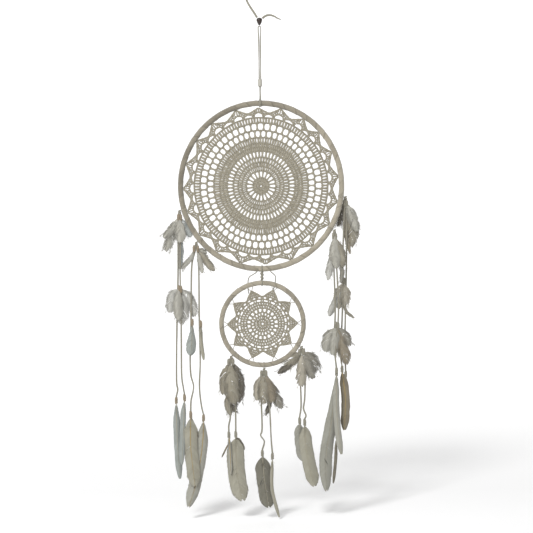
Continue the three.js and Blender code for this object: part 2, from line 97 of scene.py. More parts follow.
# The seven folded cords. Every point is measured from the cord's knot.
STRANDS = [
    {"name": "left_outer", "hoop": LARGE, "angle": 196.3, "depth": 0, "tails": [
        tail_spec(-1.6, [(1, -50), (0, -120), (1, -180), (1, -245), (1, -310), (4, -335), (6, -347)],
                  [(-3, -60), (-6, -121)], 7, 3.5, "blue"),
        tail_spec(1.6, [(-3, -50), (-4, -120), (-6, -180), (-8, -250), (-9, -321), (-7, -338), (-10, -352)],
                  [(1, -70), (5.5, -143)], 6.5, 6, "blue"),
    ], "tufts": [
        tuft_spec("tuft", [(-2.2, -4), (2.2, -5)], [
            ([(-2, -1, -14), (1, -4, -30), (2, -4, -60)], 10, 0.3, "light"),
            ([(-2, 0, -12), (-13, -2, -31), (-31, -1, -50)], 7, 0.6, "light"),
            ([(-2, 2, -14), (-15, 3, -45), (-27, 4, -75)], 9, 0.9, "light"),
            ([(1, 0, -12), (10, 1, -30), (23, 2, -49)], 8, 0.5, "blue"),
            ([(0, 1, -30), (1, 2, -70), (0, 1, -111)], 5, 0.5, "blue")], wound="wound"),
        tuft_spec("lower_tuft", [(-2.6, -140), (1.2, -141)], [
            ([(-2, -1, -148), (-16, -2, -161), (-20, -1, -193)], 10, 0.5, "pale"),
            ([(-2, 2, -150), (5, 3, -174), (2, 2, -216)], 11, 0.6, "pale"),
            ([(0, 1, -148), (18, 3, -165), (27, 2, -201)], 9, 0.7, "pale"),
            ([(-3, -2, -148), (-5, -5, -175), (-3, -4, -208)], 9, 0.4, "light")], wound="wound"),
    ]},
    {"name": "left_inner", "hoop": LARGE, "angle": 220, "depth": 0, "tails": [
        tail_spec(-1.6, [(-9, -43), (-11, -110), (-12, -160), (-14, -214), (-13, -250), (-8, -273),
                         (-13, -299), (-14, -319)],
                  [(-1, -50), (3, -95), (7, -131)], 12.5, 13.5, "warm", golden=True,
                  spur=([(1, 1, -2), (6, 2, -18), (13, 2, -38)], 2)),
        tail_spec(1.6, [(4, -54), (4, -147), (5, -222), (3, -273), (6, -307), (10, -326)],
                  [(-1.5, -33), (-7, -76), (-17, -123), (-30, -163)], 13, 10, "pale", golden=True),
    ], "tufts": [
        tuft_spec("tuft", [(-4.6, -4), (2.6, -5)], [
            ([(-5, 0, -14), (-11, -2, -29), (-29, -2, -49)], 4.5, 0.4, "light"),
            ([(1, -1, -16), (5, -3, -29), (11, -3, -58)], 4.5, 0.25, "light"),
            ([(2, 0, -14), (14, -1, -29), (34, 0, -54)], 6.5, 0.3, "warm"),
            ([(2, 1, -12), (11, 2, -17), (20, 2, -19)], 5, 0.8, "light")], wound="wound"),
    ], "extras": [
        {"name": "left_inner_mid_a", "x": -9, "z": -144, "depth": -5.6, "tone": "blue", "left": 10,
         "right": 8, "rise": 0.62, "shaft": [(-1, -28), (-4, -56)]},
        {"name": "left_inner_mid_b", "x": 7, "z": -147, "depth": -4.4, "tone": "warm", "left": 3,
         "right": 3, "shaft": [(0.5, -28), (5, -62)]},
    ]},
    {"name": "small_left", "hoop": SMALL, "angle": 226, "depth": 0, "tails": [
        tail_spec(-1.6, [(-7, -53), (-5, -88), (-3, -113), (-6, -130), (-6, -141)],
                  [(2, -30), (3, -68)], 3.4, 3, "pale", golden=True, wound="cord",
                  spur=([(-2, 1, -14), (-8, 1, -26), (-14, 1, -38)], 1.2)),
        tail_spec(1.6, [(5, -53), (7, -100), (7, -141)],
                  [(2, -65), (12, -120)], 17.5, 15, "warm", wound="cord",
                  spur=([(1, 2, -2), (9, 3, -12), (15, 3, -26)], 4)),
    ], "tufts": [
        tuft_spec("tuft", [(-5.2, -3), (3.4, -3)], [
            ([(-5, 0, -12), (-12, -2, -38), (-15, -2, -72)], 10, 0.45, "warm"),
            ([(-2, -3, -14), (0, -7, -50), (4, -6, -90)], 13, 0.5, "warm"),
            ([(3, 1, -10), (14, 2, -44), (12, 2, -88)], 11, 0.8, "dark"),
            ([(-2, 0, -60), (-8, 0, -88), (-2, 0, -112)], 6, 0.4, "warm"),
            ([(3, 2, -60), (2, 3, -84), (4, 3, -106)], 7, 0.8, "dark")]),
    ]},
    {"name": "small_middle", "hoop": SMALL, "angle": 271.4, "depth": 0, "tails": [
        tail_spec(1.6, [(-6, -39), (-5, -111), (-8, -125), (-1, -137), (-5, -153)],
                  [(3.5, -44), (11.5, -97)], 15, 14, "dark", wound="cord",
                  nick=[(-6, -2.4, -58), (-3, -2.4, -50), (0, -2.4, -44)]),
        tail_spec(-1.6, [(7, -39), (10, -77), (12, -131), (14, -158)],
                  [(-1.5, -49), (3.5, -78), (12, -110)], 3, 2.6, "warm", wound="cord"),
    ], "tufts": [
        tuft_spec("tuft", [(-5.2, -2), (3.8, -2)], [
            ([(-5, 0, -12), (-12, -2, -30), (-14, -2, -60)], 8, 0.45, "cream"),
            ([(-2, -3, -12), (-2, -6, -36), (-1, -6, -66)], 10, 0.5, "warm"),
            ([(4, 0, -10), (13, 0, -38), (34, 2, -76)], 10, 0.7, "grey"),
            ([(3, -2, -12), (10, -5, -39), (16, -4, -64)], 11, 0.45, "brown"),
            ([(7, 1, -45), (9, 2, -68), (2, 1, -88)], 4, 0.4, "dark")]),
    ]},
    {"name": "small_right", "hoop": SMALL, "angle": 328.5, "depth": 0, "tails": [
        tail_spec(1.6, [(-3, -50), (-2, -109), (-5, -133)],
                  [(0, -30), (6, -70)], 10, 8, "grey", wound="cord"),
        tail_spec(-1.6, [(6, -50), (5, -96), (2.5, -116), (7, -129), (4.5, -136)],
                  [(3, -49), (17.5, -116)], 12, 13, "warm", wound="cord"),
    ], "tufts": [
        tuft_spec("tuft", [(-4.2, -3), (4.2, -2)], [
            ([(-4, 0, -12), (-22, -2, -32), (-46, -1, -49)], 6, 0.5, "dark"),
            ([(-4, -1, -11), (-18, -3, -22), (-30, -2, -36)], 12, 0.8, "warm"),
            ([(5, 0, -10), (19, 1, -22), (26, 2, -50)], 12, 0.8, "grey"),
            ([(1, -3, -14), (-1, -6, -43), (-1, -5, -75)], 9, 0.5, "cream"),
            ([(5, -2, -14), (12, -4, -34), (22, -3, -60)], 9, 0.5, "grey")]),
    ]},
    {"name": "right_inner", "hoop": LARGE, "angle": 328.6, "depth": -6, "tails": [
        tail_spec(-3.5, [(3, -60), (6, -149), (1, -208), (-1, -240), (1, -258)],
                  [(-1, -51), (2, -108), (8, -152)], 6.4, 5.4, "pale", wound="cord"),
        tail_spec(3.5, [(-2, -60), (0, -149), (-3, -208), (1, -262)],
                  [(-10, -85), (-20, -142), (-22, -180), (-20.5, -219)], 12, 11, "grey", wound="cord",
                  rise=0.42, spur=([(-2, 1, -124), (-3, 1, -160), (-8, 1, -206)], 2.8),
                  nick=[(-25, -1.8, -158), (-22, -1.8, -163), (-18, -1.8, -170)]),
    ], "tufts": [
        tuft_spec("tuft", [(-2.2, -3), (2.4, -4)], [
            ([(-2, 0, -12), (-3, -2, -40), (-14, -1, -94)], 7, 0.35, "pale"),
            ([(0, -2, -12), (8, -4, -36), (15, -3, -70)], 9, 0.45, "warm"),
            ([(1, -2, -10), (0, -5, -38), (3, -4, -72)], 10, 0.3, "light"),
            ([(9, 0, -62), (14, 0, -78), (11, 0, -98)], 4, 0.2, "grey")]),
        tuft_spec("lower_tuft", [(1.0, -172), (5.0, -174)], [
            ([(1, -1, -184), (-12, -3, -202), (-20, -2, -230)], 12, 0.5, "light"),
            ([(3, -2, -184), (-3, -4, -208), (-6, -3, -236)], 9, 0.4, "light"),
            ([(5, -1, -184), (17, -1, -199), (27, -1, -219)], 9, 0.6, "grey"),
            ([(5, -1, -186), (12, -2, -219), (21, -2, -254)], 10, 0.6, "brown")], in_cad=False),
    ]},
    {"name": "right_outer", "hoop": LARGE, "angle": 352, "depth": 6, "tails": [
        tail_spec(-1.6, [(-6, -106), (-8, -210), (-11, -271), (-12, -305), (-10, -320)],
                  [(6, -51), (3, -110)], 7.6, 8.4, "brown", golden=True, wound="cord"),
        tail_spec(1.6, [(1, -106), (-2, -210), (-4, -280), (-3, -330)],
                  [(2, -88)], 5, 5, "brown", wound="cord"),
    ], "tufts": [
        tuft_spec("tuft", [(-2.4, -3), (2.4, -5)], [
            ([(2, -1, -12), (14, -3, -41), (21, -2, -66)], 9, 0.5, "light"),
            ([(2, 1, -14), (13, 1, -56), (10, 2, -96)], 11, 0.6, "warm"),
            ([(-2, 0, -16), (0, 2, -66), (8, 1, -108)], 4, 0.3, "brown"),
            ([(-3, 1, -10), (-9, 2, -34), (-14, 3, -56)], 7, 0.9, "dark")]),
        tuft_spec("lower_tuft", [(-9.6, -150), (-4.4, -152)], [
            ([(-8, -1, -164), (-15, -2, -187), (-15, -2, -212)], 9, 0.6, "cream"),
            ([(-6, 0, -164), (-4, -1, -187), (-5, 0, -208)], 10, 0.6, "cream"),
            ([(-10, -2, -180), (-23, -3, -201), (-34, -3, -226)], 6.5, 0.08, "pale"),
            ([(-6, 1, -190), (-1, 1, -216), (15, 1, -230)], 2.6, 0.2, "warm")]),
    ]},
]


# ---- geometry

class Shell:
    """Collects closed tubes, each a row of rings of points, into one mesh."""

    def __init__(self):
        self.points, self.corners, self.sizes, self.slots, self.shades = [], [], [], [], []
        self.count = 0

    def add(self, rings, slot=0, shade=0.5, loop=False):
        """rings is (tubes, rings, corners, 3). A tube is capped at both ends unless it closes on itself."""
        rings = np.asarray(rings, float)
        if rings.ndim == 3:
            rings = rings[None]
        tubes, rows, around, _ = rings.shape
        index = np.arange(tubes * rows * around).reshape(tubes, rows, around) + self.count
        near = index if loop else index[:, :-1]
        far = np.roll(index, -1, 1) if loop else index[:, 1:]
        quads = np.stack([near, far, np.roll(far, -1, 2), np.roll(near, -1, 2)], -1).reshape(-1, 4)
        faces = [(quads, 4)]
        if not loop:
            faces.append((np.concatenate([index[:, 0], index[:, -1, ::-1]]), around))
        for rows_of, size in faces:
            self.corners.append(rows_of.ravel())
            self.sizes.append(np.full(len(rows_of), size))
            self.slots.append(np.full(len(rows_of), slot))
        self.points.append(rings.reshape(-1, 3))
        shade = np.asarray(shade, float)
        shade = shade.reshape(-1, 1, 1) if shade.ndim < 2 else shade[..., None]
        self.shades.append(np.broadcast_to(shade, (tubes, rows, around)).ravel())
        self.count += tubes * rows * around

    def make(self, name, body, materials, slot=None, replaces=()):
        """The mesh as a piece that rides on a body."""
        mesh = bpy.data.meshes.new(name)
        points, corners = np.concatenate(self.points) * MM, np.concatenate(self.corners)
        sizes, slots = np.concatenate(self.sizes), np.concatenate(self.slots)
        mesh.vertices.add(len(points))
        mesh.vertices.foreach_set("co", points.ravel())
        mesh.loops.add(len(corners))
        mesh.loops.foreach_set("vertex_index", corners.astype(np.int32))
        mesh.polygons.add(len(sizes))
        mesh.polygons.foreach_set("loop_start", (np.cumsum(sizes) - sizes).astype(np.int32))
        mesh.polygons.foreach_set("material_index", slots.astype(np.int32))
        mesh.attributes.new("shade", "FLOAT", "POINT")
        mesh.attributes["shade"].data.foreach_set("value", np.concatenate(self.shades).astype(np.float32))
        mesh.update(calc_edges=True)
        mesh.shade_smooth()
        for material in materials:
            mesh.materials.append(MATERIALS[material])
        piece = bpy.data.objects.new(name, mesh)
        bpy.context.scene.collection.objects.link(piece)
        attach(piece, body)
        if replaces:
            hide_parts(*replaces)
        return piece


def unit(vectors):
    return vectors / np.maximum(np.linalg.norm(vectors, axis=-1, keepdims=True), 1e-9)


def oval_rings(path, wide, thick, facing=FRONT, around=8, twist=0.0, ply=0.0, loop=False):
    """Oval rings along paths (..., n, 3). wide and thick are half sizes, and ply turns a yarn's lobes."""
    path = np.asarray(path, float)
    step = np.roll(path, -1, -2) - np.roll(path, 1, -2) if loop else np.gradient(path, axis=-2)
    tangent = unit(step)
    side = unit(np.cross(tangent, facing))
    normal = np.cross(side, tangent)
    shape = path.shape[:-1]
    wide, thick, twist, ply = (np.broadcast_to(v, shape)[..., None] for v in (wide, thick, twist, ply))
    turn = 2 * np.pi * np.arange(around) / around
    lobes = np.where(ply == 0, 1.0, 1 + 0.13 * np.cos(2 * (turn - ply)))
    x, y = wide * lobes * np.cos(turn), thick * lobes * np.sin(turn)
    across = x * np.cos(twist) - y * np.sin(twist)
    out = x * np.sin(twist) + y * np.cos(twist)
    offset = across[..., None] * side[..., None, :] + out[..., None] * normal[..., None, :]
    return path[..., None, :] + offset


def smooth(points, step=2.0):
    """Points every step along a smooth curve through the given ones."""
    p = np.asarray(points, float)
    p = np.vstack([2 * p[0] - p[1], p, 2 * p[-1] - p[-2]])
    t = np.linspace(0, 1, 12, endpoint=False)[:, None]
    pieces = [
        0.5 * (2 * b + (c - a) * t + (2 * a - 5 * b + 4 * c - d) * t ** 2 + (3 * b - a - 3 * c + d) * t ** 3)
        for a, b, c, d in zip(p[:-3], p[1:-2], p[2:-1], p[3:])
    ]
    dense = np.vstack(pieces + [p[-2:-1]])
    along = np.concatenate([[0], np.cumsum(np.linalg.norm(np.diff(dense, axis=0), axis=1))])
    at = np.linspace(0, along[-1], max(4, round(along[-1] / step)) + 1)
    return np.stack([np.interp(at, along, dense[:, k]) for k in range(3)], 1)


def length_of(path):
    return float(np.linalg.norm(np.diff(path, axis=0), axis=1).sum())


def on_ring(hoop, radius, angle, depth=0.0):
    """Points at a radius and an angle in degrees in a hoop's plane."""
    turn = np.radians(angle)
    radius, turn, depth = np.broadcast_arrays(radius, turn, depth)
    x = radius * np.cos(turn) / hoop["stretch"]
    z = hoop["centre"] + radius * np.sin(turn) * hoop["stretch"]
    return np.stack([x, depth, z], -1)


# ---- materials

MATERIALS = {}


def srgb(value):
    """A colour as 0-255 display values, in the linear values that Blender takes."""
    parts = [v / 255 for v in value]
    return [v / 12.92 if v <= 0.04045 else ((v + 0.055) / 1.055) ** 2.4 for v in parts] + [1.0]


def set_inputs(node, **values):
    """Sets a node's inputs. An underscore stands for a space in an input's name."""
    for name, value in values.items():
        node.inputs[name.replace("_", " ")].default_value = value


def material(name, light, dark, roughness=0.85, sheen=0.2, grain=900, bump=0.25, depth=0.15, specular=0.3,
             stretch=(1, 1, 1)):
    """A matte fibrous surface: two tones mixed by noise and by each strand's shade, with a fine grain."""
    made = bpy.data.materials.new(name)
    made.use_nodes = True
    nodes, links = made.node_tree.nodes, made.node_tree.links
    shader = nodes["Principled BSDF"]
    set_inputs(shader, Roughness=roughness, Specular_IOR_Level=specular)
    set_inputs(shader, Sheen_Weight=sheen, Sheen_Roughness=0.6)
    place = nodes.new("ShaderNodeTexCoord")
    scale = nodes.new("ShaderNodeMapping")
    set_inputs(scale, Scale=stretch)
    links.new(place.outputs["Object"], scale.inputs["Vector"])
    coarse = nodes.new("ShaderNodeTexNoise")
    set_inputs(coarse, Scale=grain * 0.12, Detail=3)
    fine = nodes.new("ShaderNodeTexNoise")
    set_inputs(fine, Scale=grain, Detail=4)
    for noise in (coarse, fine):
        links.new(scale.outputs["Vector"], noise.inputs["Vector"])
    strand = nodes.new("ShaderNodeAttribute")
    strand.attribute_name = "shade"
    blend = nodes.new("ShaderNodeMath")
    blend.operation = "MULTIPLY_ADD"
    blend.inputs[1].default_value = MOTTLE
    links.new(coarse.outputs["Fac"], blend.inputs[0])
    links.new(strand.outputs["Fac"], blend.inputs[2])
    level = nodes.new("ShaderNodeMapRange")
    set_inputs(level, From_Min=MOTTLE * 0.35, From_Max=1 + MOTTLE * 0.65)
    links.new(blend.outputs["Value"], level.inputs["Value"])
    tone = nodes.new("ShaderNodeMix")
    tone.data_type = "RGBA"
    set_inputs(tone, A=srgb(dark), B=srgb(light))
    links.new(level.outputs["Result"], tone.inputs["Factor"])
    links.new(tone.outputs["Result"], shader.inputs["Base Color"])
    relief = nodes.new("ShaderNodeBump")
    set_inputs(relief, Strength=bump, Distance=depth * MM)
    links.new(fine.outputs["Fac"], relief.inputs["Height"])
    links.new(relief.outputs["Normal"], shader.inputs["Normal"])
    MATERIALS[name] = made


def make_materials():
    material("tape", (155, 148, 132), (107, 101, 88), roughness=0.9, sheen=0.35, grain=1500, bump=0.4)
    material("yarn", (160, 154, 138), (116, 110, 94), roughness=0.95, sheen=0.3, grain=2200, bump=0.5,
             depth=0.2)
    material("cord", (142, 138, 124), (114, 110, 97), roughness=0.92, sheen=0.35, grain=1800, bump=0.4)
    material("wound", (146, 134, 114), (116, 103, 84), roughness=0.9, sheen=0.3, grain=1800, bump=0.4)
    material("pale_wood", (180, 177, 168), (160, 157, 148), roughness=0.55, sheen=0, grain=500, bump=0.1)
    material("dark_wood", (52, 34, 22), (14, 9, 7), roughness=0.32, sheen=0, grain=260, bump=0.06,
             specular=0.6, stretch=(1, 1, 0.2))
    material("cane", (170, 136, 88), (138, 104, 62), roughness=0.6, sheen=0, grain=400)
    material("quill_golden", (166, 145, 98), (140, 118, 72), roughness=0.4, sheen=0, grain=300, bump=0.05,
             specular=0.5)
    material("quill_pale", (164, 158, 140), (140, 133, 114), roughness=0.42, sheen=0, grain=300, bump=0.05,
             specular=0.5)
    # The slit colour is painted shade: a slit in a vane is drawn as a dark strip.
    material("painted_slit_shade", (44, 42, 36), (28, 26, 22), grain=400)
    vanes = {
        "blue": ((156, 161, 156), (134, 139, 133)), "warm": ((164, 161, 145), (138, 134, 117)),
        "pale": ((166, 165, 154), (142, 140, 128)), "grey": ((156, 155, 144), (132, 131, 120)),
        "dark": ((120, 117, 103), (94, 91, 78)), "brown": ((140, 130, 108), (106, 96, 76)),
        "spur": ((112, 106, 90), (84, 78, 64)),
    }
    for name, (light, dark) in vanes.items():
        material("vane_" + name, light, dark, roughness=0.55, sheen=0.25, grain=700, bump=0.15, depth=0.08,
                 specular=0.35)
    downs = {
        "light": ((180, 178, 168), (146, 143, 131)), "pale": ((192, 191, 184), (160, 158, 150)),
        "blue": ((176, 180, 178), (146, 150, 146)), "warm": ((158, 152, 135), (122, 115, 97)),
        "grey": ((152, 148, 136), (114, 110, 99)), "dark": ((120, 114, 100), (78, 72, 60)),
        "brown": ((150, 140, 120), (112, 102, 83)), "cream": ((182, 176, 160), (146, 139, 123)),
    }
    for name, (light, dark) in downs.items():
        material("down_" + name, light, dark, roughness=0.8, sheen=0.4, grain=900, bump=0.1, depth=0.05,
                 specular=0.2)


# ---- cords

def cord_piece(name, body, path, wide, thick, twist, replaces, far_end="object", stiffness="limp", lay="taut",
               **facts):
    """A cord as a mesh tube along its path."""
    shell = Shell()
    shell.add(oval_rings(path, wide / 2, thick / 2, FRONT, 10, twist))
    piece = shell.make(name, body, ["cord"], slot="cord", replaces=replaces)
    facts.setdefault("exit", path[0] * MM)


def lace_turn(shell, centre, axes, radii, rise, size, steps, shade=0.5):
    """A closed turn of lace about a centre. axes are its two directions and its axis, radii its half widths,
    rise its place along the axis and how far it tilts, and size its section's half width and thickness.
    """
    turn = np.linspace(0, 2 * np.pi, steps, endpoint=False)
    first, second, axis = axes
    facing = np.outer(np.cos(turn), first) + np.outer(np.sin(turn), second)
    path = centre + np.outer(radii[0] * np.cos(turn), first) + np.outer(radii[1] * np.sin(turn), second)
    path = path + np.outer(rise[0] + rise[1] * np.cos(turn), axis)
    shell.add(oval_rings(path, *size, facing, 8, loop=True), shade=shade, loop=True)


def filling(shell, bottom, top, wide, thick, shade=0.5, around=8, slot=0):
    """What lies inside turns of lace, with its half sizes from bottom to top."""
    path = np.linspace(bottom, top, len(wide))
    shell.add(oval_rings(path, wide, thick, FRONT, around), slot, shade=shade)


def knot_place(strand):
    """The middle of a cord's knot, and the direction outward from its hoop there."""
    hoop = strand["hoop"]
    x, _, z = on_ring(hoop, hoop["radius"], strand["angle"])
    outward = unit(np.array([x * hoop["stretch"], 0, z - hoop["centre"]]))
    reach = hoop["band"] + GAP + KNOT["radius"] * KNOT["stretch"]
    return np.array([x, strand["depth"], z]) + outward * reach, outward


def make_hitch(strand):
    """The folded lace round the hoop, and the knot below it."""
    hoop, name = strand["hoop"], strand["name"]
    knot, outward = knot_place(strand)
    centre = on_ring(hoop, hoop["radius"], strand["angle"])
    axes = (outward, -FRONT, np.cross(outward, FRONT))
    reach = hoop["band"] + 0.3
    shell = Shell()
    for side in (-1, 1):
        lace_turn(shell, centre, axes, (reach, reach), (1.1 * side, 0.3 * side), (1.15, 0.5), 40,
                  0.6 + 0.1 * side)
    shell.make(f"{name}_hitch", hoop["body"], ["tape"], slot="cord")
    ball = Shell()
    for k, (tilt, lift) in enumerate([(1.05, 0.9), (-1.155, -0.4), (0.315, -1.7)]):
        lace_turn(ball, knot, LEVEL, (2.1, 1.9), (lift, tilt), (1.15, 0.75), 40, 0.35 + 0.2 * k)
    filling(ball, knot - 3.4 * UP, knot + 2.6 * UP, [0.8, 1.7, 2.1, 2.2, 2.1, 1.7, 0.8],
            [0.8, 1.6, 2.0, 2.0, 2.0, 1.6, 0.8], 0.3)
    return ball.make(f"{name}_knot", f"{name}_strand", ["cord"], slot="cord"), knot


def tail_path(knot, tail):
    """The route of one tail, from the knot to its binding."""
    side = LACE["width"] / 2 if tail["route"][0][0] > 0 else -LACE["width"] / 2
    end = tail["route"][-1][1]
    points = [(side, 0, -1), (side, 0, -12)] + [(x, tail["depth"] * z / end, z) for x, z in tail["route"]]
    return smooth(np.array(points) + knot, 2.4)


def make_strand_cords(strand, seed):
    """A folded cord's knot and two tails. Returns where the knot is and where the tails end."""
    knot_piece, knot = make_hitch(strand)
    name = strand["name"]
    ends = []
    for k, tail in enumerate(strand["tails"]):
        path = tail_path(knot, tail)
        rng = np.random.default_rng(seed + k)
        t = np.linspace(0, 1, len(path))
        twist = np.interp(t, np.linspace(0, 1, 8), rng.uniform(-0.7, 0.7, 8))
        letter = "ab"[k]
        cord_piece(
            f"{name}_tail_{letter}", f"{name}_strand", path, LACE["width"], LACE["thickness"], twist,
            [f"{name}_cord"], lay="hanging", with_pieces=[knot_piece] if k == 0 else [])
        ends.append(path[-1])
    return knot, ends


def make_loop():
    """The folded cord that the whole thing hangs on."""
    bottom = TUBE_BEAD["top"]
    leg = [(1.42, 0, bottom - 4), (1.42, 0, -60), (1.55, 0, -24), (2.3, 0, -10), (2.4, 0, 0)]
    bight = [(2.4 * math.cos(a), 0, 2.4 * math.sin(a)) for a in np.radians([150, 120, 90, 60, 30])]
    loop = smooth([(-x, y, z) for x, y, z in leg] + bight + leg[::-1], 1.2)
    cord_piece("loop_cord", "hanging_loop", loop, 2.4, 1.9, np.linspace(0, 9, len(loop)), ["hanging_loop"],
               exit=(0, 0, bottom * MM))


def make_tie():
    """The cord from the loop to the large hoop, and its two turns round the hoop."""
    top = LARGE["centre"] + LARGE["radius"] * LARGE["stretch"]
    around = LARGE["band"] + GAP + 1.0
    turns = Shell()
    for side in (-1, 1):
        lace_turn(turns, top * UP, (-FRONT, UP, RIGHT), (around, around), (1.2 * side, 0.15 * side),
                  (1.15, 0.75), 44, 0.5 - 0.25 * side)
    turned = turns.make("hoop_tie_turns", "hoop_tie", ["cord"], slot="cord")
    start = TUBE_BEAD["top"] - TUBE_BEAD["height"] + 5
    stem = smooth([(0, 0, start), (0, 0, -120), (0.2, 0, -130), (0, 0, top + around)], 2)
    cord_piece("hoop_tie_stem", "hoop_tie", stem, 3.3, 2.6, np.linspace(0, 3, len(stem)), ["hoop_tie"],
               with_pieces=[turned])


def make_loop_tails():
    """The loop's two ends above the dark bead: a long one with a knot and a short tapered one."""
    end = np.array([-29.8, 0, 68.2])
    knot = Shell()
    for k, tilt in enumerate((1.0, -1.2, 0.0)):
        lace_turn(knot, end, LEVEL, (2.1, 2.0), (k - 1, tilt), (1.1, 0.9), 44)
    sizes = [0.6, 1.7, 2.1, 2.2, 2.1, 1.7, 0.6]
    filling(knot, end - 2.6 * UP, end + 2.6 * UP, sizes, sizes)
    tied = knot.make("long_tail_knot", "hanger", ["cord"], slot="cord")
    path = smooth([(-4.4, 0, 19), (-9, 0, 26.8), (-15, 0, 36), (-20.5, 0, 45), (-25, 0, 55), (-29, 0, 66)],
                  1.5)
    cord_piece("long_tail", "hanger", path, 4.0, 2.6, np.linspace(0.2, 0.7, len(path)), ["hanger_long_tail"],
               far_end="knot", stiffness="medium", with_pieces=[tied], exit=(-3e-3, 0, 16e-3))
    short = smooth([(5.9, 0, 17.4), (9.5, 0, 20.5), (15, 0, 23), (22, 0, 23.2), (29, 0, 20.6), (35, 0, 17),
                    (41, 0, 14.8)], 1.2)
    t = np.linspace(0, 1, len(short))
    shell = Shell()
    shell.add(oval_rings(short, 2.1 * (1 - 0.55 * t ** 2), 1.5 * (1 - 0.5 * t ** 2), FRONT, 10, 0.25 * t))
    piece = shell.make("short_tail", "hanger", ["cord"], slot="cord", replaces=["hanger_short_tail"])


def make_hoop_link():
    """The knotted cord between the hoops and the two steadying threads."""
    upper = LARGE["centre"] - LARGE["radius"] * LARGE["stretch"]
    lower = SMALL["centre"] + SMALL["radius"]
    shell = Shell()
    for z, band in ((upper, LARGE["band"]), (lower, SMALL["band"])):
        around = band + GAP + 0.75
        lace_turn(shell, z * UP, (UP, -FRONT, RIGHT), (around, around), (0, 0.2), (1.2, 0.8), 36)
    top, bottom = upper - LARGE["band"] - GAP, lower + SMALL["band"] + GAP
    heights = np.linspace(bottom + 2, top - 1.6, 5)
    for k, (z, wide) in enumerate(zip(heights, (2.0, 2.6, 2.0, 2.9, 2.2))):
        tilt = 0.35 * (-1) ** k * wide
        lace_turn(shell, z * UP, LEVEL, (wide, wide * 0.9), (0, tilt), (1.5, 0.8), 36, 0.35 + 0.15 * (k % 3))
    sizes = [1.2, 2, 2.3, 2, 2.5, 2.4, 1.2]
    filling(shell, (bottom - 0.2) * UP, (top + 0.2) * UP, sizes, sizes, 0.3)
    shell.make("hoop_link_knot", "small_ring", ["cord"], slot="cord", replaces=["hoop_link"])
    left = [(-8, -6.7, -457.5), (-10, -5.8, -464), (-17, -2, -469), (-24, 3, -473.5), (-26.5, 6.4, -480),
            (-27, 6.8, -487), (-27, 6, -493), (-26.5, 3.6, -499), (-26, 2.6, -505)]
    right = [(14, -6.8, -457.5), (16.5, -5.8, -463.5), (21.5, -2, -468), (25.5, 3, -473), (25.5, 6.4, -480),
             (24.5, 6.8, -487), (23, 6, -493), (21, 3.6, -498), (19.5, 2.6, -501)]
    for name, route in (("link_thread_left", left), ("link_thread_right", right)):
        path = smooth(route, 1.5)
        cord_piece(f"{name}_lace", "small_ring", path, 2.0, 1.8, np.linspace(0, 4, len(path)), [name])


# ---- hoops and crochet

def make_hoop(name, hoop):
    """Suede tape wound round a hoop, each turn overlapping the one before along a slanted edge."""
    steps, around = 16, 28
    rows = hoop["turns"] * steps
    rng = np.random.default_rng(hoop["turns"])
    k = np.arange(rows)[:, None]
    j = np.arange(around)[None, :]
    phase = (k % steps) / steps
    turn = 2 * np.pi * j / around
    lean = (k + steps * j / around) / rows * 2 * np.pi
    drift = np.repeat(rng.uniform(-0.16, 0.16, hoop["turns"]), steps)[:, None]
    step = np.where(phase < 0.07, phase / 0.07, 1 - 0.9 * np.clip((phase - 0.07) / 0.93, 0, 1) ** 0.7)
    ripple = 0.05 * np.sin(6 * turn + 3 * lean) + 0.06 * np.sin(41 * lean + 2 * turn)
    reach = hoop["band"] - 0.1 + 0.5 * step + drift * step + ripple
    radius = hoop["radius"] - reach * np.cos(turn)
    depth = -reach * np.sin(turn)
    x = radius * np.cos(lean) / hoop["stretch"]
    z = hoop["centre"] + radius * np.sin(lean) * hoop["stretch"]
    rings = np.stack([x, np.broadcast_to(depth, x.shape), z], -1)
    # A full turn round the section shifts the rows by one turn of tape, so the seam is a helix.
    index = np.arange(rows * around).reshape(rows, around)
    wrapped = np.concatenate([index, np.roll(index[:, :1], -steps, 0)], 1)
    shell = Shell()
    shell.points.append(rings.reshape(-1, 3))
    far = np.roll(wrapped, -1, 0)
    quads = np.stack([wrapped[:, :-1], wrapped[:, 1:], far[:, 1:], far[:, :-1]], -1).reshape(-1, 4)
    shell.corners.append(quads.ravel())
    shell.sizes.append(np.full(len(quads), 4))
    shell.slots.append(np.zeros(len(quads)))
    # Painted shade in the crease and on the step at each seam, lighter just past the raised edge and
    # darkening along the turn; drift adds each turn's own random tone.
    seam_shade_and_tone = 0.3 * np.where(phase < 0.1, -1.2, 0.4 - 0.5 * phase) + drift * 1.6
    # Painted shade: the tape's tone is darker towards the upper left and lighter towards the lower right.
    tone = np.clip(hoop["tone"] + seam_shade_and_tone + hoop["painted_side_shade"] * np.cos(lean + 0.62), 0, 1)
    shell.shades.append(np.broadcast_to(tone, (rows, around)).ravel())
    shell.make(f"{name}_tape", hoop["body"], ["tape"], slot="tape", replaces=[f"{name}_wrap"])
    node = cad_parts[name]
    node.data.materials.clear()
    node.data.materials.append(MATERIALS["cane"])


def braid(shell, hoop, radius, loops, size, swing, rng):
    """A chain of crochet stitches round a circle: two strands that cross over each other."""
    n = loops * PER_STITCH
    angle = np.arange(n) * 360 / n
    wave = 2 * np.pi * np.arange(n) / PER_STITCH
    wobble = 0.25 * np.interp(angle, np.linspace(0, 360, 25), np.append(rng.normal(size=24), 0))
    for side in (0, np.pi):
        path = on_ring(hoop, radius + wobble + swing * np.cos(wave + side), angle,
                       0.7 * size * np.cos(wave + side + np.pi / 2))
        rings = oval_rings(path, size, size * 0.9, FRONT, 5, loop=True)
        shell.add(rings, shade=0.4 + 0.2 * math.cos(side), loop=True)


def yarn_along(shell, path, wide, thick, turns, shade):
    """One plied strand of yarn along a path."""
    shell.add(oval_rings(path, wide, thick, FRONT, 6, 0.0, np.linspace(0.1, turns, len(path))), shade=shade)


